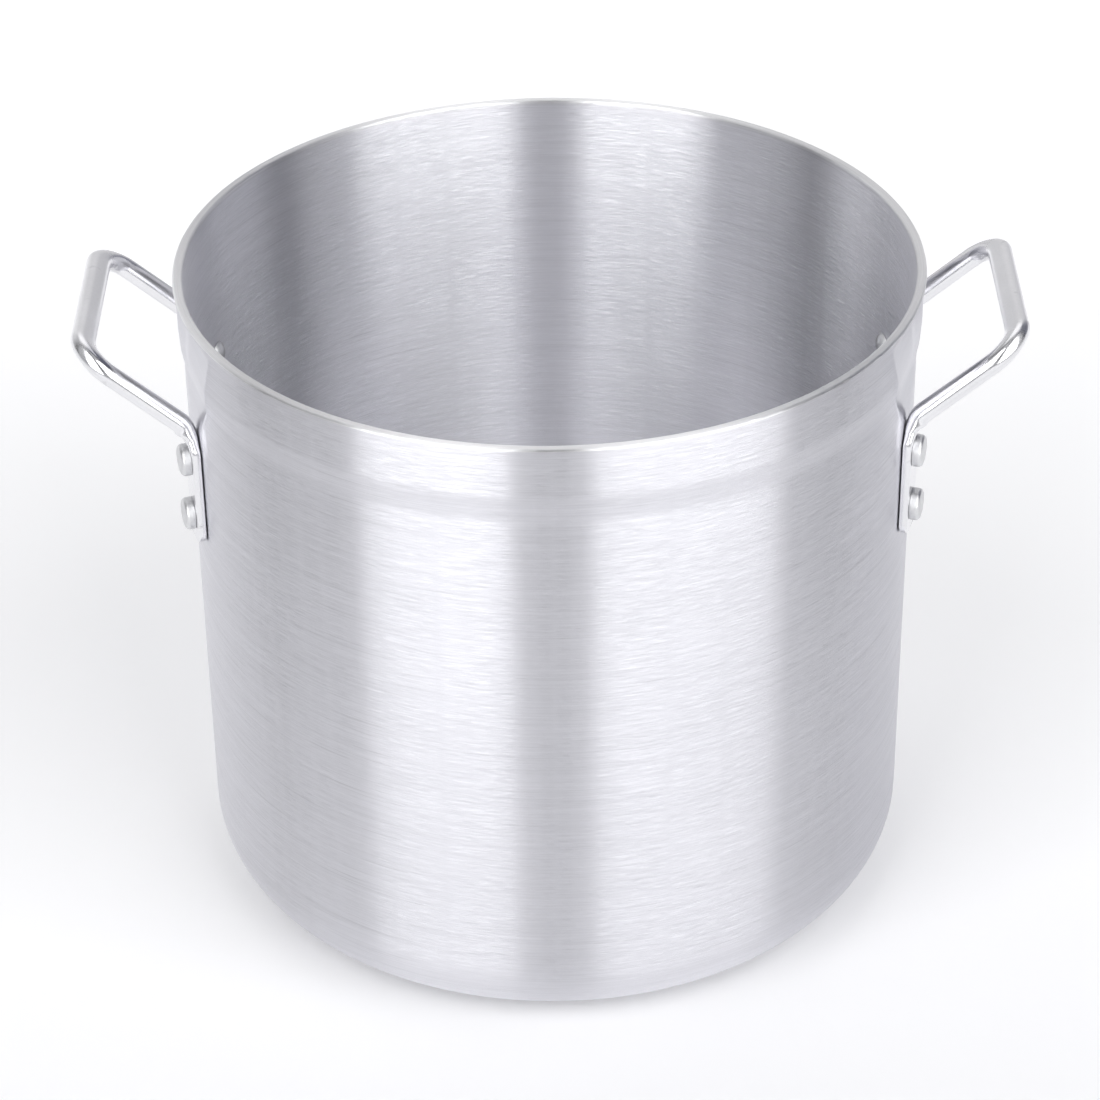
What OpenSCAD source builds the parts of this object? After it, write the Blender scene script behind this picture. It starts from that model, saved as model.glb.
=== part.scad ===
// Two-handled commercial aluminium stock pot, open top, no lid.
// Millimetres, +Z up. Origin at the centre of the base, on the surface it stands on.
// The two handles point along +X and -X.

/* [Pot body] */
// Height from the standing surface to the top of the rim
pot_h = 328.4; // [300:1:360]
// Outer radius of the thick rim band
rim_r = 178; // [176:0.5:182]
// Thickness of the wall at the rim
rim_t = 4.7; // [4:0.1:5.5]
// Height of the thick rim band
band_h = 25; // [20:1:30]
// Height of the taper from the rim band down to the plain wall
band_taper = 13.5; // [10:0.5:16]
// Outer radius of the plain wall just below the taper
wall_r_top = 174.75; // [174.4:0.05:174.8]
// Outer radius of the plain wall just above the base corner
wall_r_low = 172.9; // [172:0.1:174]
// Thickness of the plain wall
wall_t = 2.5; // [2:0.1:3]
// Thickness of the base
base_t = 4; // [3:0.5:6]
// Outer radius of the rounded corner between wall and base
corner_r = 39; // [30:1:42]
// Small rounding on both edges of the rim
rim_edge_r = 1.2; // [0.6:0.1:1.8]

/* [Handle seats] */
// Angle of each handle leg from the X axis, in degrees
leg_angle = 17; // [15:0.5:19]
// Distance from the pot's axis to the back of the handle straps
seat_d = 174.65; // [174.65:0.05:175]
// Half width of the flat pressed into the rim band above each leg
seat_half_w = 46; // [42:1:50]

/* [Handles] */
// Diameter of the handle rod
rod_d = 10; // [9:0.5:11]
// Distance from the pot's axis to the centre of the grip bar
grip_x = 217.3; // [212:1:225]
// Height of the centre of the grip bar
grip_z = 307.8; // [303:1:312]
// Height at which the line of the sloping arm meets the line of the strap
arm_z = 270; // [268:1:272]
// Bend radius at the wall, on the rod's centre line
bend_r = 9; // [8:0.5:11]
// Bend radius at the ends of the grip, on the rod's centre line
grip_bend_r = 15; // [10:0.5:16]
// Width of the flattened strap
strap_w = 18; // [17:0.5:19]
// Thickness of the flattened strap
strap_t = 4.4; // [4:0.1:4.8]
// Height of the strap's lower end
strap_bottom = 208; // [205:1:211]
// Height where the strap starts to thicken into the rod
strap_top = 260.2; // [260.2:0.1:261]
// Corner radius of the strap's lower end
strap_corner = 7; // [4:0.5:8]

/* [Rivets] */
// Height of the upper rivets
rivet_upper_z = 252; // [250:0.5:252]
// Vertical distance between the two rivets of a leg
rivet_pitch = 29.5; // [28:0.5:30]
// Radius of the rivet shank
shank_r = 3.2; // [2.8:0.1:3.5]
// Radial clearance of the shank in its holes
shank_gap = 0.05; // [0.04:0.01:0.1]
// Radius of the outer head
head_r = 7.8; // [7:0.1:8]
// Height of the outer head
head_h = 5; // [4:0.1:5.5]
// Radius of the domed inner head
inner_head_r = 6.2; // [5.5:0.1:6.6]
// Height of the domed inner head
inner_head_h = 3.4; // [2.6:0.1:3.8]

/* [Hidden] */
$fn = 96;

pot_colour = [0.80, 0.80, 0.82];
rod_colour = [0.86, 0.86, 0.88];
rivet_colour = [0.74, 0.74, 0.76];

// Heights of the lines where the outer profile changes
band_low = pot_h - band_h;
taper_low = band_low - band_taper;
// Inner surface: straight near the rim, then parallel to the outer wall
inner_break = pot_h - 45;
inner_r_rim = rim_r - rim_t;
inner_r_top = wall_r_top - wall_t;
inner_r_low = wall_r_low - wall_t;
inner_corner_r = corner_r - 3.2;
inner_corner_z = base_t + inner_corner_r;

// Inner radius of the wall at height z
function inner_r(z) = inner_r_low
    + (inner_r_top - inner_r_low) * (z - inner_corner_z) / (inner_break - inner_corner_z);
// Distance from the axis to the flat underside of an inner rivet head at height z
function inner_seat(z) = sqrt(pow(inner_r(z - inner_head_r), 2) - pow(inner_head_r, 2)) - 0.02;

rod_r = rod_d / 2;
// Hair's breadth by which joined shapes are kept from lying exactly on each other
skin = 0.1;
// The straight upright line of each leg's rod
leg_x = (seat_d + rod_r) * cos(leg_angle);
leg_y = (seat_d + rod_r) * sin(leg_angle);
// Upward slope of the arms
arm_slope = atan((grip_z - arm_z) / (grip_x - leg_x));
// Lower end of the bend at the wall
bend_z = arm_z - bend_r * tan((90 - arm_slope) / 2);
// Upper end of the bend at the wall
bend_end_x = leg_x + bend_r * (1 - sin(arm_slope));
bend_end_z = bend_z + bend_r * cos(arm_slope);
// Start of the bend at the grip
turn_x = grip_x - grip_bend_r * cos(arm_slope);
turn_z = grip_z - grip_bend_r * sin(arm_slope);
arm_len = sqrt(pow(turn_x - bend_end_x, 2) + pow(turn_z - bend_end_z, 2));

// Moves a piece drawn on the +X axis to one of the four legs:
// sx is +1 right or -1 left, sy is +1 rear or -1 front
module at_leg(sx, sy) {
    mirror([sx < 0 ? 1 : 0, 0, 0])
        mirror([0, sy < 0 ? 1 : 0, 0])
            rotate([0, 0, leg_angle]) children();
}

// ---------- pot body ----------

module outer_profile() {
    union() {
        // base, up to the centre line of the rounded corner
        square([wall_r_low - corner_r, corner_r]);
        // rounded corner
        intersection() {
            translate([wall_r_low - corner_r, corner_r]) circle(r = corner_r, $fn = 180);
            square([wall_r_low + 1, corner_r]);
        }
        // plain wall, taper and rim band
        polygon([[0, corner_r], [wall_r_low, corner_r], [wall_r_top, taper_low],
                 [rim_r, band_low], [rim_r, pot_h - rim_edge_r], [0, pot_h - rim_edge_r]]);
        // rounded outer edge of the rim
        translate([rim_r - rim_edge_r, pot_h - rim_edge_r]) circle(r = rim_edge_r, $fn = 48);
        translate([0, pot_h - 3 * rim_edge_r]) square([rim_r - rim_edge_r, 3 * rim_edge_r]);
    }
}

module inner_profile() {
    union() {
        translate([0, base_t]) square([inner_r_low - inner_corner_r, inner_corner_r]);
        intersection() {
            translate([inner_r_low - inner_corner_r, inner_corner_z])
                circle(r = inner_corner_r, $fn = 180);
            translate([0, base_t]) square([inner_r_low + 1, inner_corner_r]);
        }
        polygon([[0, inner_corner_z], [inner_r_low, inner_corner_z], [inner_r_top, inner_break],
                 [inner_r_rim, pot_h - rim_edge_r], [inner_r_rim, pot_h + 1], [0, pot_h + 1]]);
    }
}

// Ring that rounds the inner edge of the rim when it is taken away
module inner_edge_ring() {
    rotate_extrude($fn = 180)
        difference() {
            translate([inner_r_rim - 0.5, pot_h - rim_edge_r])
                square([rim_edge_r + 0.5, rim_edge_r + 1]);
            translate([inner_r_rim + rim_edge_r, pot_h - rim_edge_r])
                circle(r = rim_edge_r, $fn = 48);
        }
}

// Material pressed back from the rim band above a leg, so that the leg sits flat
module seat_cut() {
    translate([0, seat_half_w, 0])
        rotate([90, 0, 0])
            linear_extrude(height = 2 * seat_half_w)
                polygon([[seat_d + 0.05, taper_low - 12], [seat_d + 0.6, pot_h - 9],
                         [rim_r + 0.1, pot_h - 3.5], [rim_r + 8, pot_h - 3.5],
                         [rim_r + 8, taper_low - 12]]);
}

module rivet_holes() {
    for (z = [rivet_upper_z, rivet_upper_z - rivet_pitch])
        translate([seat_d - 12, 0, z])
            rotate([0, 90, 0])
                cylinder(r = shank_r + shank_gap, h = 24, $fn = 48);
}

module pot_body() {
    color(pot_colour)
        difference() {
            rotate_extrude($fn = 180)
                difference() {
                    outer_profile();
                    inner_profile();
                }
            inner_edge_ring();
            for (sx = [-1, 1], sy = [-1, 1])
                at_leg(sx, sy) {
                    seat_cut();
                    rivet_holes();
                }
        }
}

// ---------- handles ----------

// Flattened strap on the +X axis, rounded at its lower end
module strap() {
    difference() {
        translate([seat_d, 0, 0])
            rotate([90, 0, 90])
                linear_extrude(height = strap_t)
                    union() {
                        translate([-strap_w / 2, strap_bottom + strap_corner])
                            square([strap_w, strap_top - strap_bottom - strap_corner]);
                        translate([-strap_w / 2 + strap_corner, strap_bottom])
                            square([strap_w - 2 * strap_corner, strap_corner + 1]);
                        for (s = [-1, 1])
                            translate([s * (strap_w / 2 - strap_corner), strap_bottom + strap_corner])
                                circle(r = strap_corner, $fn = 64);
                    }
        rivet_holes();
    }
}

// Short wedge where the strap thickens into the round rod
module strap_shoulder() {
    hull() {
        translate([seat_d + skin, skin - strap_w / 2, strap_top - 0.5])
            cube([strap_t - 2 * skin, strap_w - 2 * skin, 0.5]);
        translate([seat_d + rod_r, 0, bend_z - 0.3])
            cylinder(r = rod_r - skin / 2, h = 0.2, $fn = 32);
    }
}

// Ball, a hair wider than the rod, where two lengths of rod run into each other
module tie() {
    sphere(r = rod_r + skin / 2, $fn = 64);
}

// Rod of the rear leg, from the strap to the grip
module rod_half() {
    // bend at the wall
    translate([leg_x + bend_r, leg_y, bend_z])
        rotate([90, 0, 0])
            rotate([0, 0, 90 + arm_slope])
                rotate_extrude(angle = 90 - arm_slope, $fn = 128)
                    translate([bend_r, 0]) circle(r = rod_r, $fn = 64);
    translate([leg_x, leg_y, bend_z]) tie();
    // sloping arm
    translate([bend_end_x, leg_y, bend_end_z])
        rotate([0, 90 - arm_slope, 0]) {
            translate([0, 0, 0.1]) cylinder(r = rod_r, h = arm_len - 0.2, $fn = 64);
            tie();
            translate([0, 0, arm_len]) tie();
        }
    // bend at the grip
    translate([turn_x, leg_y - grip_bend_r, turn_z])
        rotate([0, -arm_slope, 0])
            rotate_extrude(angle = 90, $fn = 128)
                translate([grip_bend_r, 0]) circle(r = rod_r, $fn = 64);
    translate([grip_x, leg_y - grip_bend_r, grip_z]) rotate([90, 0, 0]) tie();
}

module handle_shape() {
    for (sy = [-1, 1]) {
        mirror([0, sy < 0 ? 1 : 0, 0]) {
            rod_half();
            rotate([0, 0, leg_angle]) {
                strap();
                strap_shoulder();
            }
        }
    }
    // grip bar
    translate([grip_x, leg_y - grip_bend_r - 0.1, grip_z])
        rotate([90, 0, 0])
            cylinder(r = rod_r, h = 2 * (leg_y - grip_bend_r) - 0.2, $fn = 64);
}

module handle_right() {
    color(rod_colour) handle_shape();
}

module handle_left() {
    color(rod_colour) mirror([1, 0, 0]) handle_shape();
}

// ---------- rivets ----------

// One rivet on the +X axis at height z, its shank pointing outwards
module rivet(z) {
    seat = inner_seat(z);
    outer = seat_d + strap_t;
    dome = (pow(inner_head_r, 2) + pow(inner_head_h, 2)) / (2 * inner_head_h);
    color(rivet_colour)
        translate([0, 0, z])
            rotate([0, 90, 0])
                rotate_extrude($fn = 96)
                    union() {
                        // shank
                        translate([0, seat - 0.4]) square([shank_r, outer - seat + 0.8]);
                        // domed inner head
                        intersection() {
                            translate([0, seat - inner_head_h + dome]) circle(r = dome, $fn = 96);
                            translate([0, seat - inner_head_h]) square([inner_head_r, inner_head_h]);
                        }
                        // flat-topped outer head with a rounded edge
                        intersection() {
                            translate([0, outer]) union() {
                                square([head_r - 2, head_h]);
                                square([head_r, head_h - 2]);
                                translate([head_r - 2, head_h - 2]) circle(r = 2, $fn = 48);
                            }
                            translate([0, outer + head_h - 32]) circle(r = 32, $fn = 180);
                            translate([0, outer]) square([head_r + 1, head_h + 1]);
                        }
                    }
}

module rivet_left_front_upper() { at_leg(-1, -1) rivet(rivet_upper_z); }
module rivet_left_front_lower() { at_leg(-1, -1) rivet(rivet_upper_z - rivet_pitch); }
module rivet_left_rear_upper() { at_leg(-1, 1) rivet(rivet_upper_z); }
module rivet_left_rear_lower() { at_leg(-1, 1) rivet(rivet_upper_z - rivet_pitch); }
module rivet_right_front_upper() { at_leg(1, -1) rivet(rivet_upper_z); }
module rivet_right_front_lower() { at_leg(1, -1) rivet(rivet_upper_z - rivet_pitch); }
module rivet_right_rear_upper() { at_leg(1, 1) rivet(rivet_upper_z); }
module rivet_right_rear_lower() { at_leg(1, 1) rivet(rivet_upper_z - rivet_pitch); }

pot_body();
handle_left();
handle_right();
rivet_left_front_upper();
rivet_left_front_lower();
rivet_left_rear_upper();
rivet_left_rear_lower();
rivet_right_front_upper();
rivet_right_front_lower();
rivet_right_rear_upper();
rivet_right_rear_lower();
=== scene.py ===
import math

import bpy
import numpy as np
from mathutils import Matrix, Vector


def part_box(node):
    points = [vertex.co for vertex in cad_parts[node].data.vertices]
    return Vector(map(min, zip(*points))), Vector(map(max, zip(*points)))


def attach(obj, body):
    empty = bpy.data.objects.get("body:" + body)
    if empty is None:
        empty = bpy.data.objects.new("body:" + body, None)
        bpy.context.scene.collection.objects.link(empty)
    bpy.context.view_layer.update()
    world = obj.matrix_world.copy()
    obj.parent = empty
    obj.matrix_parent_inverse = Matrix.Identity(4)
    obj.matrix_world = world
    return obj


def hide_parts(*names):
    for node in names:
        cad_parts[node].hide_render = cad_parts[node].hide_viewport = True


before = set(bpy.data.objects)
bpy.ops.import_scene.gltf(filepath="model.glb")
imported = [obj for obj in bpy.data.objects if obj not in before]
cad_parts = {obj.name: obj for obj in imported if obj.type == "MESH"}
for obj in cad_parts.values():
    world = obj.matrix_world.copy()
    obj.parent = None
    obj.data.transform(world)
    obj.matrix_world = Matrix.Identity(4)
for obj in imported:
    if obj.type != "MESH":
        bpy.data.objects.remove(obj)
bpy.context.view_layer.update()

MM = 0.001

# ------------------------------------------------------------------ sizes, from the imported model
pot_lo, pot_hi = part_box("pot_body")
H_POT = pot_hi.z / MM                    # height of the rim
R_RIM = (pot_hi.x - pot_lo.x) / 2 / MM   # outer radius of the rim band
grip_lo, grip_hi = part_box("handle_right")
ROD_R = 5.0
GRIP_X = grip_hi.x / MM - ROD_R          # centre line of the grip bar
GRIP_Z = grip_hi.z / MM - ROD_R
STRAP_BOTTOM = grip_lo.z / MM

RIM_T, BAND_H, TAPER_H = 4.7, 25.0, 13.5
WALL_TOP_R, WALL_LOW_R, WALL_T, BASE_T, CORNER_R = 174.75, 172.9, 2.5, 4.0, 39.0
BAND_LOW = H_POT - BAND_H
TAPER_LOW = BAND_LOW - TAPER_H
LEG = math.radians(17.0)
SEAT_D = 174.65
STRAP_W, STRAP_T, STRAP_TOP, STRAP_CORNER = 18.0, 4.4, 260.2, 7.0
ARM_Z, BEND_R, GRIP_BEND_R = 270.0, 9.0, 15.0
GRIP_HALF_W, GRIP_THICK, GRIP_OUT = 6.1, 8.8, 1.1      # the grip is pressed a little flat, and so is wider than the rod
RIVET_Z = (252.0, 222.5)


# ------------------------------------------------------------------ small helpers
def smooth(a, b, x):
    t = np.clip((np.asarray(x, float) - a) / (b - a), 0, 1)
    return t * t * (3 - 2 * t)


def smin(a, b, k):
    """Smooth minimum with blend width k."""
    h = np.clip(0.5 + 0.5 * (b - a) / k, 0, 1)
    return b * (1 - h) + a * h - k * h * (1 - h)


def new_mesh(name, verts, faces, material, shade=True, attrs=None):
    me = bpy.data.meshes.new(name)
    me.from_pydata([tuple(v) for v in verts], [], faces)
    me.validate()
    me.update()
    if shade:
        me.polygons.foreach_set("use_smooth", np.ones(len(me.polygons), bool))
    for key, values in (attrs or {}).items():
        a = me.attributes.new(key, "FLOAT", "POINT")
        a.data.foreach_set("value", np.asarray(values, np.float32))
    me.materials.append(material)
    ob = bpy.data.objects.new(name, me)
    bpy.context.scene.collection.objects.link(ob)
    return ob


def ring_faces(rows, cols, start=0, closed_rows=False):
    """Quads between rows of a closed ring of cols points."""
    out = []
    for i in range(rows - 1):
        a, b = start + i * cols, start + (i + 1) * cols
        for j in range(cols):
            k = (j + 1) % cols
            out.append((a + j, a + k, b + k, b + j))
    return out


def arc(cx, cz, r, a0, a1, n):
    t = np.radians(np.linspace(a0, a1, n))
    return [(cx + r * math.cos(q), cz + r * math.sin(q)) for q in t]


# ------------------------------------------------------------------ node-graph helper
class Graph:
    def __init__(self, tree):
        self.t = tree
        self.n = tree.nodes
        self.l = tree.links

    def put(self, socket, value):
        if isinstance(value, bpy.types.NodeSocket):
            self.l.new(value, socket)
        else:
            socket.default_value = value

    def math(self, op, *args, clamp=False):
        n = self.n.new("ShaderNodeMath")
        n.operation = op
        n.use_clamp = clamp
        for i, a in enumerate(args):
            self.put(n.inputs[i], a)
        return n.outputs[0]

    def vec(self, x, y, z):
        n = self.n.new("ShaderNodeCombineXYZ")
        for i, a in enumerate((x, y, z)):
            self.put(n.inputs[i], a)
        return n.outputs[0]

    def noise(self, vector, scale=1.0, detail=2.0, rough=0.5, distortion=0.0):
        n = self.n.new("ShaderNodeTexNoise")
        n.noise_dimensions = "3D"
        self.put(n.inputs["Vector"], vector)
        n.inputs["Scale"].default_value = scale
        n.inputs["Detail"].default_value = detail
        n.inputs["Roughness"].default_value = rough
        n.inputs["Distortion"].default_value = distortion
        return n.outputs["Fac"]

    def remap(self, value, a, b, c, d, clamp=True):
        n = self.n.new("ShaderNodeMapRange")
        n.clamp = clamp
        self.put(n.inputs["Value"], value)
        for name, v in zip(("From Min", "From Max", "To Min", "To Max"), (a, b, c, d)):
            self.put(n.inputs[name], v)
        return n.outputs["Result"]

    def mix(self, factor, a, b, blend="MIX"):
        n = self.n.new("ShaderNodeMix")
        n.data_type = "RGBA"
        n.blend_type = blend
        self.put(n.inputs["Factor"], factor)
        self.put(n.inputs["A"], a)
        self.put(n.inputs["B"], b)
        return n.outputs["Result"]

    def attr(self, name):
        n = self.n.new("ShaderNodeAttribute")
        n.attribute_type = "GEOMETRY"
        n.attribute_name = name
        return n.outputs["Fac"]

    def bump(self, height, strength, distance, normal=None):
        n = self.n.new("ShaderNodeBump")
        self.put(n.inputs["Strength"], strength)
        n.inputs["Distance"].default_value = distance
        self.put(n.inputs["Height"], height)
        if normal is not None:
            self.put(n.inputs["Normal"], normal)
        return n.outputs["Normal"]

    def coords(self):
        """Object position, and the cylinder coordinates round Z built from it."""
        tc = self.n.new("ShaderNodeTexCoord")
        sep = self.n.new("ShaderNodeSeparateXYZ")
        self.l.new(tc.outputs["Object"], sep.inputs[0])
        x, y, z = sep.outputs
        r = self.math("SQRT", self.math("ADD", self.math("MULTIPLY", x, x), self.math("MULTIPLY", y, y)))
        rr = self.math("MAXIMUM", r, 0.0005)
        return tc.outputs["Object"], x, y, z, r, self.math("DIVIDE", x, rr), self.math("DIVIDE", y, rr)


def new_material(name):
    m = bpy.data.materials.new(name)
    m.use_nodes = True
    m.node_tree.nodes.clear()
    g = Graph(m.node_tree)
    out = g.n.new("ShaderNodeOutputMaterial")
    bsdf = g.n.new("ShaderNodeBsdfPrincipled")
    g.l.new(bsdf.outputs[0], out.inputs["Surface"])
    return m, g, bsdf


# ------------------------------------------------------------------ materials
def brushed_aluminium():
    """Aluminium turned with fine rings round the pot's axis."""
    m, g, b = new_material("brushed_aluminium")
    p, x, y, z, r, c, s = g.coords()
    along = g.math("ADD", z, r)              # runs along the profile, on the walls and on the floor alike
    seat = g.attr("seat")                    # 1 on the smooth flats pressed for the handles
    inside = g.attr("inside")
    plain = g.math("SUBTRACT", 1.0, seat, clamp=True)

    def streak(around, across, detail=2.0, rough=0.55, off=0.0):
        v = g.vec(g.math("MULTIPLY", c, around), g.math("MULTIPLY", s, around),
                  g.math("ADD", g.math("MULTIPLY", along, across), off))
        return g.noise(v, 1.0, detail, rough)

    fine = streak(4.0, 3000.0, 3.0, 0.6)
    medium = streak(2.6, 1300.0, 2.0, 0.5, 13.0)
    broad = streak(1.3, 230.0, 2.0, 0.5, 37.0)
    short = streak(9.0, 1900.0, 2.0, 0.6, 71.0)
    cloud = g.noise(p, 9.0, 3.0, 0.5)
    # long single scratches: the peaks of a very stretched noise
    scratch = g.remap(streak(3.0, 1300.0, 1.0, 0.5, 5.0), 0.66, 0.74, 0.0, 1.0)
    scratch = g.math("MULTIPLY", scratch, plain)

    grain = g.math("ADD", g.math("MULTIPLY", fine, 0.45),
                   g.math("ADD", g.math("MULTIPLY", medium, 0.35), g.math("MULTIPLY", short, 0.20)))
    grain = g.math("ADD", g.math("MULTIPLY", g.math("SUBTRACT", grain, 0.5), plain), 0.5)

    light = g.remap(grain, 0.30, 0.70, 0.88, 1.045)
    light = g.math("MULTIPLY", light, g.remap(broad, 0.3, 0.7, 0.98, 1.012))
    light = g.math("MULTIPLY", light, g.remap(cloud, 0.3, 0.7, 0.985, 1.015))
    light = g.math("SUBTRACT", light, g.math("MULTIPLY", scratch, 0.10))
    tint_with_painted_light = g.mix(inside, (0.752, 0.750, 0.788, 1), (0.948, 0.947, 0.98, 1))   # one aluminium, painted darker on the outside and lighter inside: painted shade and painted light
    # painted light: the rim is painted lighter than the outer wall
    tint_with_painted_light = g.mix(g.attr("rim"), tint_with_painted_light, (0.95, 0.952, 0.96, 1))
    base = g.mix(1.0, tint_with_painted_light, g.vec(light, light, light), "MULTIPLY")
    g.put(b.inputs["Base Color"], base)
    b.inputs["Metallic"].default_value = 1.0

    rough = g.remap(grain, 0.30, 0.70, 0.36, 0.32)
    rough = g.math("ADD", rough, g.remap(cloud, 0.3, 0.7, -0.015, 0.015))
    g.put(b.inputs["Roughness"], rough)
    b.inputs["Anisotropic"].default_value = 0.99
    b.inputs["Anisotropic Rotation"].default_value = 0.25
    tan = g.n.new("ShaderNodeTangent")
    tan.direction_type = "RADIAL"
    tan.axis = "Z"
    g.l.new(tan.outputs[0], b.inputs["Tangent"])

    # the brush grooves tilt the surface across the grain only, far more finely than a pixel
    hair = streak(20.0, 30000.0, 1.0, 0.5, 3.0)
    tilt = g.math("MULTIPLY", g.math("SUBTRACT", hair, 0.5), 2.2)
    tilt = g.math("ADD", tilt, g.math("MULTIPLY", g.math("SUBTRACT", grain, 0.5), g.remap(inside, 0.0, 1.0, 0.05, 0.11)))
    tilt = g.math("MULTIPLY", tilt, g.remap(plain, 0.0, 1.0, 0.55, 1.0))
    geo = g.n.new("ShaderNodeNewGeometry")
    cross = g.n.new("ShaderNodeVectorMath")
    cross.operation = "CROSS_PRODUCT"
    g.l.new(geo.outputs["Normal"], cross.inputs[0])
    g.l.new(tan.outputs[0], cross.inputs[1])
    scaled = g.n.new("ShaderNodeVectorMath")
    scaled.operation = "SCALE"
    g.l.new(cross.outputs[0], scaled.inputs[0])
    g.l.new(tilt, scaled.inputs["Scale"])
    summed = g.n.new("ShaderNodeVectorMath")
    summed.operation = "ADD"
    g.l.new(geo.outputs["Normal"], summed.inputs[0])
    g.l.new(scaled.outputs[0], summed.inputs[1])
    unit = g.n.new("ShaderNodeVectorMath")
    unit.operation = "NORMALIZE"
    g.l.new(summed.outputs[0], unit.inputs[0])
    g.l.new(unit.outputs[0], b.inputs["Normal"])
    return m


def plated_rod():
    """Bright plated steel, with a faint drawn grain and small knocks."""
    m, g, b = new_material("plated_rod")
    p, x, y, z, r, c, s = g.coords()
    cloud = g.noise(p, 28.0, 3.0, 0.55)
    fine = g.noise(p, 900.0, 2.0, 0.5)
    knock = g.remap(g.noise(p, 190.0, 1.0, 0.4), 0.70, 0.80, 0.0, 1.0)
    light = g.remap(cloud, 0.3, 0.7, 0.95, 1.02)
    light = g.math("MULTIPLY", light, g.remap(fine, 0.3, 0.7, 0.98, 1.015))
    light = g.math("SUBTRACT", light, g.math("MULTIPLY", knock, 0.12))
    g.put(b.inputs["Base Color"], g.mix(1.0, (0.86, 0.86, 0.875, 1), g.vec(light, light, light), "MULTIPLY"))
    b.inputs["Metallic"].default_value = 1.0
    rough = g.remap(cloud, 0.3, 0.7, 0.10, 0.17)
    rough = g.math("ADD", rough, g.math("MULTIPLY", g.remap(fine, 0.3, 0.7, 0.0, 1.0), 0.03))
    rough = g.math("ADD", rough, g.math("MULTIPLY", knock, 0.15))
    satin = g.attr("satin")                   # 1 on the grip, which hands have dulled
    rough = g.math("ADD", rough, g.math("MULTIPLY", satin, 0.20))
    g.put(b.inputs["Roughness"], rough)
    wave = g.noise(p, 60.0, 2.0, 0.5)
    n1 = g.bump(wave, 0.12, 0.00025)
    g.put(b.inputs["Normal"], g.bump(g.math("SUBTRACT", fine, knock), 0.15, 0.00003, n1))
    return m


def rivet_aluminium():
    """Satin aluminium of a rivet that has been set with a press."""
    m, g, b = new_material("rivet_aluminium")
    p, x, y, z, r, c, s = g.coords()
    cloud = g.noise(p, 160.0, 3.0, 0.55)
    grit = g.noise(p, 1500.0, 2.0, 0.6)
    edge = g.attr("edge")                     # 1 on the corners of the head and at its foot by the strap, which are made lighter and smoother
    light = g.remap(cloud, 0.3, 0.7, 0.92, 1.03)
    light = g.math("MULTIPLY", light, g.remap(grit, 0.3, 0.7, 0.95, 1.03))
    light = g.math("ADD", light, g.math("MULTIPLY", edge, 0.06))
    g.put(b.inputs["Base Color"], g.mix(1.0, (0.70, 0.703, 0.712, 1), g.vec(light, light, light), "MULTIPLY"))
    b.inputs["Metallic"].default_value = 1.0
    rough = g.remap(cloud, 0.3, 0.7, 0.40, 0.50)
    rough = g.math("ADD", rough, g.remap(grit, 0.3, 0.7, -0.03, 0.03))
    rough = g.math("SUBTRACT", rough, g.math("MULTIPLY", edge, 0.06))
    g.put(b.inputs["Roughness"], rough)
    n1 = g.bump(cloud, 0.3, 0.0002)
    g.put(b.inputs["Normal"], g.bump(grit, 0.25, 0.00003, n1))
    return m


MAT_POT = brushed_aluminium()
MAT_ROD = plated_rod()
MAT_RIVET = rivet_aluminium()


# ------------------------------------------------------------------ pot body
def wall_outer(z):
    """Outer radius of the plain turned shape at height z, above the base corner, with soft edges on the taper."""
    z = np.asarray(z, float)
    wall = WALL_LOW_R + (WALL_TOP_R - WALL_LOW_R) * (z - CORNER_R) / (TAPER_LOW - CORNER_R)
    slope = (R_RIM - WALL_TOP_R) / TAPER_H
    ramp = WALL_TOP_R + slope * (z - TAPER_LOW)
    lower = -smin(-wall, -ramp, 0.55)        # smooth maximum
    return smin(lower, R_RIM + 0 * z, 0.55)


def wall_inner(z):
    z = np.asarray(z, float)
    low_z, brk = BASE_T + 35.8, H_POT - 45
    a = (WALL_LOW_R - WALL_T) + (WALL_TOP_R - WALL_LOW_R) * (z - low_z) / (brk - low_z)
    top = R_RIM - RIM_T
    b = (WALL_TOP_R - WALL_T) + (top - (WALL_TOP_R - WALL_T)) * (z - brk) / (H_POT - 1.2 - brk)
    return np.where(z < brk, a, b)


# crease of the pressed seat, as an angle from the leg, at heights below the rim
CREASE_Z = np.array([200.0, 252.0, 262.0, 273.4, 282.4, 289.9, 303.4, 308.4, 322.0, 328.4])
CREASE_A = np.array([0.0, 0.6, 2.0, 3.2, 5.6, 7.2, 9.3, 10.0, 11.8, 12.5])


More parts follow.
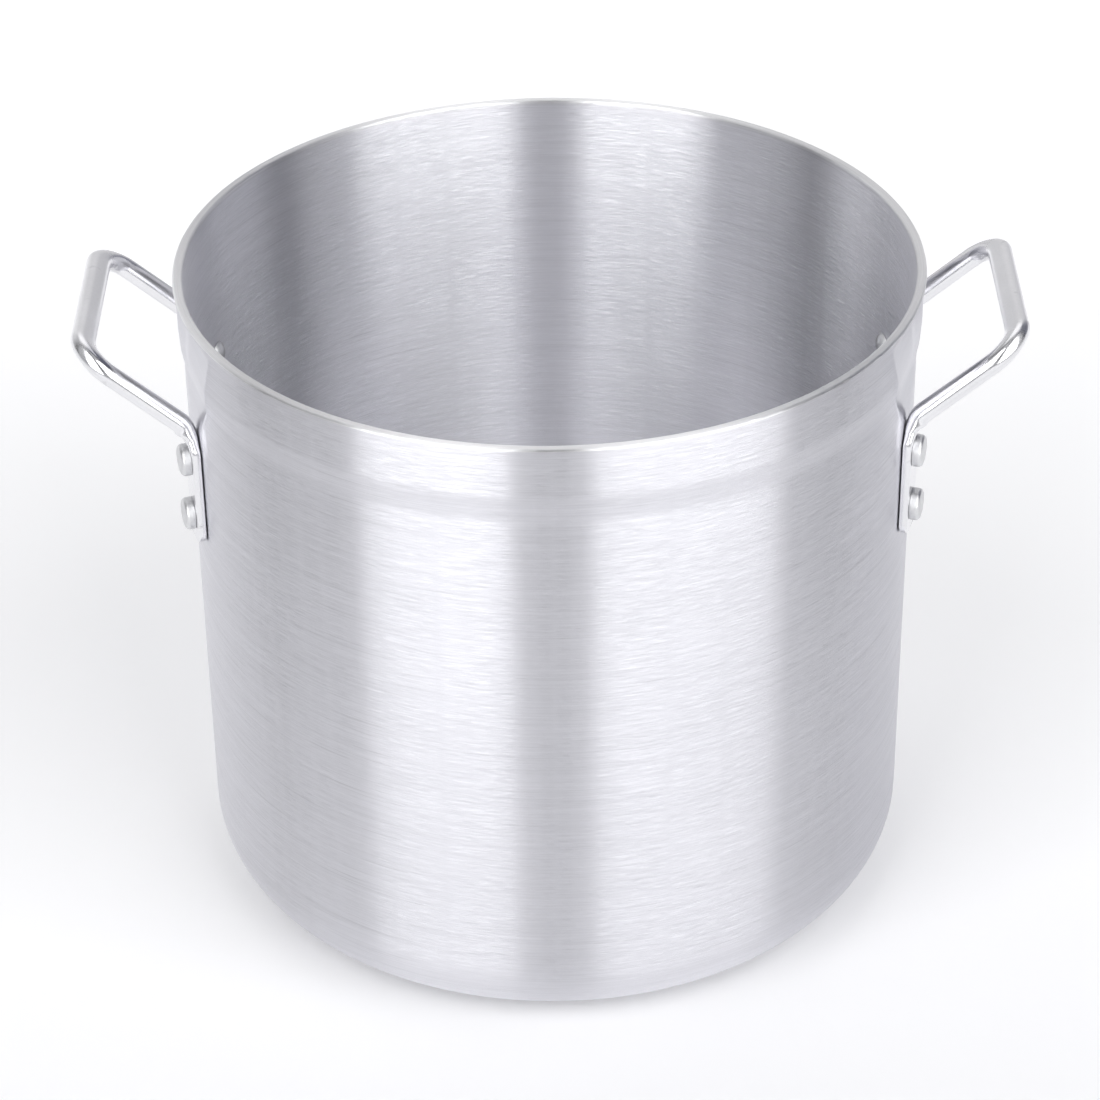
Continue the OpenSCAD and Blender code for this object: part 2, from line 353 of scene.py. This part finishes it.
def pressed(theta, z, r0):
    """Outer radius after the handle seats are pressed in, and how much a point lies on the pressed flat."""
    beta = np.radians(np.interp(z, CREASE_Z, CREASE_A))
    flat = r0 * np.cos(beta)
    on = smooth(250.0, 262.0, z)
    out = r0 + 0 * theta
    mask = 0 * theta
    for phi in (LEG, -LEG, math.pi - LEG, math.pi + LEG):
        d = np.arctan2(np.sin(theta - phi), np.cos(theta - phi))
        plane = flat / np.maximum(np.cos(d), 0.5)
        near = np.abs(d) < math.radians(26)
        k = 0.35
        cut = smin(out, plane, k)
        # the side of a leg that looks at the other leg is pressed as one flat run
        out = np.where(near, out + (cut - out) * on, out)
        t = np.abs(d) - beta
        mask = np.maximum(mask, (1 - smooth(-math.radians(0.6), math.radians(0.9), t)) * on)
    # between the two legs the band is pushed in a little
    for centre in (0.0, math.pi):
        d = np.abs(np.arctan2(np.sin(theta - centre), np.cos(theta - centre)))
        inner = 1 - smooth(LEG - math.radians(5), LEG, d)
        push = 1.25 * inner * smooth(BAND_LOW - 10, BAND_LOW + 1, z)
        out = out - push
        mask = np.maximum(mask, (1 - smooth(LEG - math.radians(2), LEG + math.radians(1), d)) * smooth(266, 276, z))
    # the wall bulges softly along the crease
    for phi, side in ((LEG, 1), (-LEG, -1), (math.pi - LEG, -1), (math.pi + LEG, 1)):
        d = np.arctan2(np.sin(theta - phi), np.cos(theta - phi)) * side
        t = (d - beta) * r0
        ridge = np.exp(-((t - 1.4) / 1.4) ** 2) * 0.32 * smooth(262, 276, z)
        # shallow funnel beside the top of the strap
        funnel = np.exp(-((d * r0 - 13.5) / 3.6) ** 2 - ((z - 266.0) / 9.0) ** 2) * 0.42
        dimple = np.exp(-((d * r0 - 12.0) / 2.2) ** 2 - ((z - 246.0) / 4.0) ** 2) * 0.13
        out = out + ridge - funnel - dimple
    return out, mask


def build_pot():
    fine = np.radians(np.arange(-34, 34.001, 0.45))
    coarse = np.radians(np.linspace(34, 146, 94)[1:-1])
    theta = np.concatenate([fine, coarse, fine[:] + math.pi, coarse + math.pi])
    theta = np.unique(np.round(np.mod(theta, 2 * math.pi), 7))
    cols = len(theta)

    e = 1.2
    rows = []   # (r, z, kind)
    for r in (2.0, 20, 45, 70, 95, 118, 130):
        rows.append((r, 0.0, "base"))
    for q in arc(WALL_LOW_R - CORNER_R, CORNER_R, CORNER_R, -90, 0, 19):
        rows.append((q[0], q[1], "corner"))
    zs = list(np.arange(50, 200, 16.0)) + list(np.arange(200, 240, 4.0)) + list(np.arange(240, 262, 2.0)) \
        + list(np.arange(262, 286, 1.5)) + list(np.arange(286, 307, 0.9)) + list(np.arange(307, 323.5, 1.6)) \
        + [324.3, 325.1, 325.8, 326.5, H_POT - e]
    for zz in zs:
        rows.append((None, zz, "wall"))
    for q in arc(R_RIM - e, H_POT - e, e, 12, 90, 7):
        rows.append((q[0], q[1], "rim"))
    for q in arc(R_RIM - RIM_T + e, H_POT - e, e, 90, 180, 8):
        rows.append((q[0], q[1], "rim"))
    zi = [325.5, 323, 318, 308, 296, 287, 283.4, 280, 272, 260, 240, 215, 185, 150, 115, 80, 55]
    for zz in zi:
        rows.append((float(wall_inner(zz)), zz, "in"))
    for q in arc(WALL_LOW_R - WALL_T - 35.8, BASE_T + 35.8, 35.8, 0, -90, 17):
        rows.append((q[0], q[1], "in"))
    for r in (128, 112, 92, 70, 48, 26, 10, 2.0):
        rows.append((r, BASE_T, "in"))

    verts, seat, inside, rim = [], [], [], []
    for r, z, kind in rows:
        if kind == "wall":
            r0 = float(wall_outer(z))
            rr, mk = pressed(theta, z, r0)
            # the pressing dies away under the rim's edge
            w = 1 - float(smooth(321.5, 326.8, z))
            rr = R_RIM + (rr - R_RIM) * w if z > 321.5 else rr
            mk = mk * w
        else:
            rr, mk = np.full(cols, r), np.zeros(cols)
        verts += list(zip(rr * np.cos(theta) * MM, rr * np.sin(theta) * MM, np.full(cols, z * MM)))
        seat += list(mk)
        inside += [1.0 if kind == "in" else 0.0] * cols
        rim += [1.0 if kind == "rim" else 0.0] * cols
    faces = ring_faces(len(rows), cols)
    # close the two middles
    a = len(verts)
    verts.append((0, 0, 0)); seat.append(0); inside.append(0); rim.append(0)
    faces += [(a, (j + 1) % cols, j) for j in range(cols)]
    b = len(verts)
    verts.append((0, 0, BASE_T * MM)); seat.append(0); inside.append(1); rim.append(0)
    last = (len(rows) - 1) * cols
    faces += [(b, last + j, last + (j + 1) % cols) for j in range(cols)]
    ob = new_mesh("pot_shell", verts, faces, MAT_POT, attrs={"seat": seat, "inside": inside, "rim": rim})
    return ob


pot = build_pot()
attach(pot, "root")
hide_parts("pot_body")


# ------------------------------------------------------------------ handles
def section(half_w, thick, corner, n=10):
    """Closed loop of a rounded rectangle: u across, v outwards from 0 to thick."""
    c = min(corner, half_w, thick / 2)
    pts = []
    for cu, cv, a0 in ((half_w - c, c, -90), (half_w - c, thick - c, 0), (-half_w + c, thick - c, 90), (-half_w + c, c, 180)):
        for q in np.radians(np.linspace(a0, a0 + 90, n)):
            pts.append((cu + c * math.cos(q), cv + c * math.sin(q)))
    return np.array(pts)


def strap_back(z):
    """Distance from the axis to the back of the strap: it stands a little off the wall at the top."""
    return 174.28 + 0.0075 * (z - STRAP_BOTTOM)


def leg_loops():
    """Loops from the strap's lower end to the middle of the grip, for the right rear leg."""
    cl, sl = math.cos(LEG), math.sin(LEG)
    n_leg, t_leg = np.array([cl, sl, 0]), np.array([-sl, cl, 0])
    up = np.array([0, 0, 1.0])
    leg_c = (SEAT_D + ROD_R) * n_leg
    slope = math.atan((GRIP_Z - ARM_Z) / (GRIP_X - leg_c[0]))
    bend_z = ARM_Z - BEND_R * math.tan((math.pi / 2 - slope) / 2)
    loops, satin = [], []

    def add(origin, u, v, half_w, thick, corner, worn=0.0):
        sec = section(half_w, thick, corner)
        loops.append(origin + sec[:, :1] * u + sec[:, 1:] * v)
        satin.append(worn)

    edge = 1.35
    # lower end: round corners seen from the front, edges rounded in section
    zs = [(0.0, 1.35), (0.18, 0.75), (0.55, 0.30), (1.0, 0.08), (1.6, 0.0)]
    for dz, inset in zs:
        z = STRAP_BOTTOM + dz
        q = max(0.0, STRAP_CORNER - dz)
        half = STRAP_W / 2 - STRAP_CORNER + math.sqrt(max(STRAP_CORNER ** 2 - q * q, 0.0))
        half = max(half, 3.2) - inset * 0.3
        add(strap_back(z) * n_leg + up * z + n_leg * inset, t_leg, n_leg, half, STRAP_T - 2 * inset, max(edge - inset, 0.35))
    for dz in (2.4, 3.4, 4.6, 5.8, 7.0, 9.0):
        z = STRAP_BOTTOM + dz
        q = max(0.0, STRAP_CORNER - dz)
        half = STRAP_W / 2 - STRAP_CORNER + math.sqrt(max(STRAP_CORNER ** 2 - q * q, 0.0))
        add(strap_back(z) * n_leg + up * z, t_leg, n_leg, half, STRAP_T, edge)
    for z in (225, 238, 248, 252, 254, 255.5):
        add(strap_back(z) * n_leg + up * z, t_leg, n_leg, STRAP_W / 2, STRAP_T, edge)
    # run-out of the strap into the rod: path length w measured from z = 256
    z0 = 256.0
    stations = np.concatenate([np.arange(0.0, 7.0, 0.7), np.arange(7.0, 14.0, 0.35), np.arange(14.0, 20.0, 0.8)])
    back_top = strap_back(z0)
    arc_len = BEND_R * (math.pi / 2 - slope)
    for w in stations:
        # thickness: a concave ramp, then the round nose where the rod begins
        ramp = STRAP_T + 1.9 * float(smooth(0.0, 9.5, w)) ** 1.3
        nose = float(smooth(8.6, 12.2, w)) ** 0.75
        thick = ramp + (2 * ROD_R - ramp) * nose
        half = STRAP_W / 2 + (ROD_R - STRAP_W / 2) * float(smooth(0.5, 15.0, w))
        corner = edge + (ROD_R - edge) * float(smooth(1.0, 12.5, w))
        z = z0 + w
        settle = float(smooth(0.0, 14.0, w))
        if z <= bend_z:
            off = (back_top + 0.0075 * w) * (1 - settle) + SEAT_D * settle
            add(off * n_leg + up * z, t_leg, n_leg, half, thick, corner)
        else:
            a = min((z - bend_z) / BEND_R, math.pi / 2 - slope)
            over = max(0.0, (z - bend_z) - arc_len)
            turn = float(smooth(0, 14, z - bend_z))
            az = LEG * (1 - turn)
            out_dir = np.array([math.cos(az), math.sin(az), 0])
            ctr = leg_c + up * bend_z + np.array([1, 0, 0]) * BEND_R * (1 - math.cos(a)) + up * BEND_R * math.sin(a)
            tang = np.array([math.sin(a), 0, math.cos(a)])
            ctr = ctr + tang * over
            v = out_dir - tang * out_dir.dot(tang)
            v = v / np.linalg.norm(v)
            u = np.cross(tang, v)
            if u.dot(t_leg) < 0:
                u = -u
            add(ctr - v * ROD_R, u, v, half, thick, corner)
    last_over = max(0.0, (z0 + stations[-1] - bend_z) - arc_len)
    # sloping arm
    p_end = leg_c + up * bend_z + np.array([1, 0, 0]) * BEND_R * (1 - math.sin(slope)) + up * BEND_R * math.cos(slope)
    arm_dir = np.array([math.cos(slope), 0, math.sin(slope)])
    turn_p = np.array([GRIP_X, leg_c[1], GRIP_Z]) - arm_dir * GRIP_BEND_R
    length = float(np.dot(turn_p - p_end, arm_dir))
    v = np.array([math.sin(slope), 0, -math.cos(slope)])
    u = np.array([0, 1.0, 0])
    for q in np.linspace(last_over + 2.0, length, 9):
        add(p_end + arm_dir * q - v * ROD_R, u, v, ROD_R, 2 * ROD_R, ROD_R)
    # bend into the grip
    centre = turn_p + np.array([0, -GRIP_BEND_R, 0])
    for q in np.radians(np.linspace(0, 90, 28)[1:]):
        uu = np.array([0, 1, 0]) * math.cos(q) + arm_dir * math.sin(q)
        flat = float(smooth(0.25, 1.0, q / (math.pi / 2)))
        ctr = centre + GRIP_BEND_R * uu + arm_dir * GRIP_OUT * flat
        half_w, thick = ROD_R + (GRIP_HALF_W - ROD_R) * flat, 2 * ROD_R + (GRIP_THICK - 2 * ROD_R) * flat
        add(ctr - v * thick / 2, uu, v, half_w, thick, thick / 2, float(smooth(0.35, 0.95, q / (math.pi / 2))))
    y_end = leg_c[1] - GRIP_BEND_R
    for y in np.linspace(y_end, 0, 7)[1:]:
        add(np.array([GRIP_X, y, GRIP_Z]) + arm_dir * GRIP_OUT - v * GRIP_THICK / 2, arm_dir, v, GRIP_HALF_W, GRIP_THICK, GRIP_THICK / 2, 1.0)
    return loops, satin


def build_handle(name, side):
    half, satin = leg_loops()
    n = len(half[0])
    worn = np.repeat(satin + satin[-2::-1], n)
    other = []
    for lp in reversed(half[:-1]):
        m = lp.copy()
        m[:, 1] *= -1
        other.append(m)
    loops = half + other
    pts = np.concatenate(loops)
    if side < 0:
        pts = pts * np.array([-1, 1, 1])
    faces = ring_faces(len(loops), n)
    first, last = list(range(n)), [(len(loops) - 1) * n + j for j in range(n)]
    faces.append(tuple(reversed(first)))
    faces.append(tuple(last))
    ob = new_mesh(name, pts * MM, faces, MAT_ROD, attrs={"satin": worn})
    # merge the doubled points of the straight sides, then make the normals agree
    import bmesh
    bm = bmesh.new()
    bm.from_mesh(ob.data)
    bmesh.ops.remove_doubles(bm, verts=bm.verts, dist=0.00001)
    bmesh.ops.dissolve_degenerate(bm, edges=bm.edges, dist=0.000005)
    bmesh.ops.recalc_face_normals(bm, faces=bm.faces)
    bm.to_mesh(ob.data)
    bm.free()
    ob.data.polygons.foreach_set("use_smooth", np.ones(len(ob.data.polygons), bool))
    return ob


for side, node in ((-1, "handle_left"), (1, "handle_right")):
    h = build_handle(node + "_rod", side)
    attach(h, "root")
    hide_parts(node)


# ------------------------------------------------------------------ rivets
def rivet_profile(z):
    """(distance from the rivet's own axis, distance from the pot's axis, edge lightening) from the tip of the inner
    head outwards.
    """
    seat = math.sqrt((WALL_LOW_R - WALL_T + (WALL_TOP_R - WALL_LOW_R) * (z - 6.2 - 39.8) / (H_POT - 45 - 39.8)) ** 2 - 6.2 ** 2) - 0.02
    face = strap_back(z) + STRAP_T
    pts = []
    rr, hh = 6.2, 3.4
    dome = (rr * rr + hh * hh) / (2 * hh)
    a1 = math.asin(rr / dome)
    for q in np.linspace(0, a1, 12):
        pts.append((dome * math.sin(q), seat - hh + dome * (1 - math.cos(q)), 0.0))
    pts.append((rr - 0.05, seat + 0.02, 0.0))
    pts += [(3.6, seat + 0.03, 0.0), (3.2, seat + 0.15, 0.0), (3.2, face - 0.2, 0.0), (3.4, face - 0.02, 0.0), (7.2, face - 0.02, 0.0)]
    # outer head: short straight side, rounded corner, slightly domed top with a faint dish in the middle
    R, hd, e = 7.8, 5.0, 2.0
    pts.append((R - 0.25, face + 0.1, 0.2))
    pts.append((R, face + 0.5, 0.1))
    pts.append((R, face + 1.6, 0.0))
    pts.append((R, face + hd - e - 0.35, 0.1))
    for q in np.radians(np.linspace(4, 86, 11)):
        pts.append((R - e + e * math.cos(q), face + hd - e - 0.28 + e * math.sin(q), math.sin(2 * q)))
    for r_ in (5.1, 4.2, 3.2, 2.2, 1.2, 0.5):
        pts.append((r_, face + hd - 0.28 + 0.26 * (1 - (r_ / 5.8) ** 2) - 0.10 * math.exp(-(r_ / 2.2) ** 2), 0.0))
    return pts


def build_rivet(name, sx, sy, z):
    az = LEG if sx > 0 else math.pi - LEG
    az = az * sy if sx > 0 else (az if sy > 0 else -az)
    n = np.array([math.cos(az), math.sin(az), 0])
    t = np.array([-math.sin(az), math.cos(az), 0])
    up = np.array([0, 0, 1.0])
    prof = rivet_profile(z)
    cols = 56
    ang = np.linspace(0, 2 * math.pi, cols, endpoint=False)
    verts, edge = [], []
    body = prof[1:]
    for rad, dist, w in body:
        for a in ang:
            verts.append((n * dist + t * rad * math.cos(a) + up * (z + rad * math.sin(a))) * MM)
            edge.append(w)
    faces = ring_faces(len(body), cols)
    tip = len(verts)
    verts.append((n * prof[0][1] + up * z) * MM); edge.append(0)
    faces += [(tip, (j + 1) % cols, j) for j in range(cols)]
    cap = len(verts)
    verts.append((n * (prof[-1][1] + 0.0) + up * z) * MM); edge.append(0)
    base = (len(body) - 1) * cols
    faces += [(cap, base + j, base + (j + 1) % cols) for j in range(cols)]
    ob = new_mesh(name, verts, faces, MAT_RIVET, attrs={"edge": edge})
    return ob


for sx, sn in ((-1, "left"), (1, "right")):
    for sy, fn in ((-1, "front"), (1, "rear")):
        for z, hn in zip(RIVET_Z, ("upper", "lower")):
            node = f"rivet_{sn}_{fn}_{hn}"
            rv = build_rivet(node + "_set", sx, sy, z)
            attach(rv, "root")
            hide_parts(node)


# ------------------------------------------------------------------ stage
def build_floor():
    m, g, b = new_material("pale_floor")
    p, x, y, z, r, c, s = g.coords()
    n = g.remap(g.noise(p, 3.0, 2.0, 0.5), 0.3, 0.7, 0.985, 1.0)
    g.put(b.inputs["Base Color"], g.mix(1.0, (0.86, 0.86, 0.865, 1), g.vec(n, n, n), "MULTIPLY"))
    b.inputs["Roughness"].default_value = 0.9
    b.inputs["Specular IOR Level"].default_value = 0.1
    b.inputs["Emission Color"].default_value = (1, 1, 1, 1)
    # the sweep is lit from below further out, so that it stays white to its edge
    g.put(b.inputs["Emission Strength"], g.remap(y, -0.3, 1.7, 0.02, 0.75))
    me = bpy.data.meshes.new("studio_floor")
    s_ = 9.0
    me.from_pydata([(-s_, -s_, 0), (s_, -s_, 0), (s_, s_, 0), (-s_, s_, 0)], [], [(0, 1, 2, 3)])
    me.materials.append(m)
    ob = bpy.data.objects.new("studio_floor", me)
    bpy.context.scene.collection.objects.link(ob)
    return ob


build_floor()


def softbox(name, azimuth, distance, width, low, high, power, colour=(1, 1, 1)):
    """Upright soft light at an azimuth from -Y, positive towards +X."""
    li = bpy.data.lights.new(name, "AREA")
    li.shape = "RECTANGLE"
    li.size = width
    li.size_y = high - low
    li.energy = power
    li.color = colour
    ob = bpy.data.objects.new(name, li)
    a = math.radians(azimuth)
    pos = Vector((math.sin(a) * distance, -math.cos(a) * distance, (low + high) / 2))
    ob.location = pos
    ob.rotation_euler = (Vector((0, 0, pos.z)) - pos).to_track_quat("-Z", "Y").to_euler()
    ob.visible_camera = False
    bpy.context.scene.collection.objects.link(ob)
    return ob


def area_power(width, height, radiance):
    return radiance * math.pi * width * height


# each softbox covers a span of azimuth, and its power follows from the radiance chosen for it
def softbox_span(name, a0, a1, distance, low, high, radiance, colour=(1, 1, 1)):
    width = 2 * distance * math.tan(math.radians(abs(a1 - a0) / 2))
    return softbox(name, (a0 + a1) / 2, distance, width, low, high, area_power(width, high - low, radiance), colour)


softbox_span("softbox_left", -54.0, -11.5, 1.5, 0.22, 3.6, 2.45)
softbox_span("softbox_right", 11.0, 66.0, 1.5, 0.22, 3.6, 2.2)
softbox_span("fill_left", -150.0, -112.0, 1.8, 0.3, 1.8, 0.30)
softbox_span("fill_right", 124.0, 150.0, 1.8, 0.3, 1.8, 0.13, (0.97, 0.97, 1.0))

top = bpy.data.lights.new("overhead", "AREA")
top.shape = "RECTANGLE"
top.size, top.size_y = 2.4, 2.0
top.energy = area_power(2.4, 2.0, 0.6)
top_ob = bpy.data.objects.new("overhead", top)
top_ob.location = (0, 1.4, 2.8)
top_ob.visible_camera = False
bpy.context.scene.collection.objects.link(top_ob)

world = bpy.data.worlds.new("studio")
bpy.context.scene.world = world
world.use_nodes = True
wg = Graph(world.node_tree)
wtc = wg.n.new("ShaderNodeTexCoord")
wsep = wg.n.new("ShaderNodeSeparateXYZ")
wg.l.new(wtc.outputs["Generated"], wsep.inputs[0])
# azimuth from -Y, positive towards +X, in degrees
az = wg.math("MULTIPLY", wg.math("ARCTAN2", wsep.outputs[0], wg.math("MULTIPLY", wsep.outputs[1], -1.0)), 180 / math.pi)
right = wg.remap(az, 84.0, 98.0, 0.0, 1.0)
tone = wg.mix(right, (0.46, 0.462, 0.475, 1), (0.13, 0.134, 0.175, 1))
for at, half in ((-93.0, 11.0), (92.0, 9.0)):
    flag = wg.remap(wg.math("ABSOLUTE", wg.math("SUBTRACT", az, at)), half * 0.45, half, 0.75, 0.0)
    tone = wg.mix(flag, tone, (0.02, 0.02, 0.022, 1))
depth = wg.remap(wsep.outputs[2], 0.10, 0.55, 1.0, 0.32)
gap = wg.remap(wg.math("ABSOLUTE", az), 12.0, 18.0, depth, 1.0)      # the camera and its stand, between the two lights
tone = wg.mix(1.0, tone, wg.vec(gap, gap, gap), "MULTIPLY")
back = wg.remap(wg.math("ABSOLUTE", az), 138.0, 154.0, 0.0, 1.0)
tone = wg.mix(back, tone, (0.68, 0.677, 0.69, 1))
wg.put(world.node_tree.nodes["Background"].inputs[0], tone)
world.node_tree.nodes["Background"].inputs[1].default_value = 1.0

# ------------------------------------------------------------------ camera
cam = bpy.data.cameras.new("camera")
cam.sensor_fit = "HORIZONTAL"
cam.sensor_width = 36.0
cam.lens = 3831.5 / 1100 * 36.0
cam.shift_x = -3.0 / 1100
cam.clip_start = 0.05
cam.clip_end = 100
cam_ob = bpy.data.objects.new("camera", cam)
pitch, roll = math.radians(32.051), math.radians(-0.725)
fw = Vector((0, math.cos(pitch), -math.sin(pitch)))
rt, up = Vector((1, 0, 0)), Vector((0, math.sin(pitch), math.cos(pitch)))
cr, sr = math.cos(roll), math.sin(roll)
rt2, up2 = rt * cr + up * sr, up * cr - rt * sr
rot = Matrix((rt2, up2, -fw)).transposed().to_4x4()
cam_ob.matrix_world = Matrix.Translation((0, -1.60812, 1.17287)) @ rot
bpy.context.scene.collection.objects.link(cam_ob)
bpy.context.scene.camera = cam_ob

bpy.context.scene.view_settings.view_transform = "Standard"
bpy.context.scene.view_settings.look = "None"

bpy.context.view_layer.update()
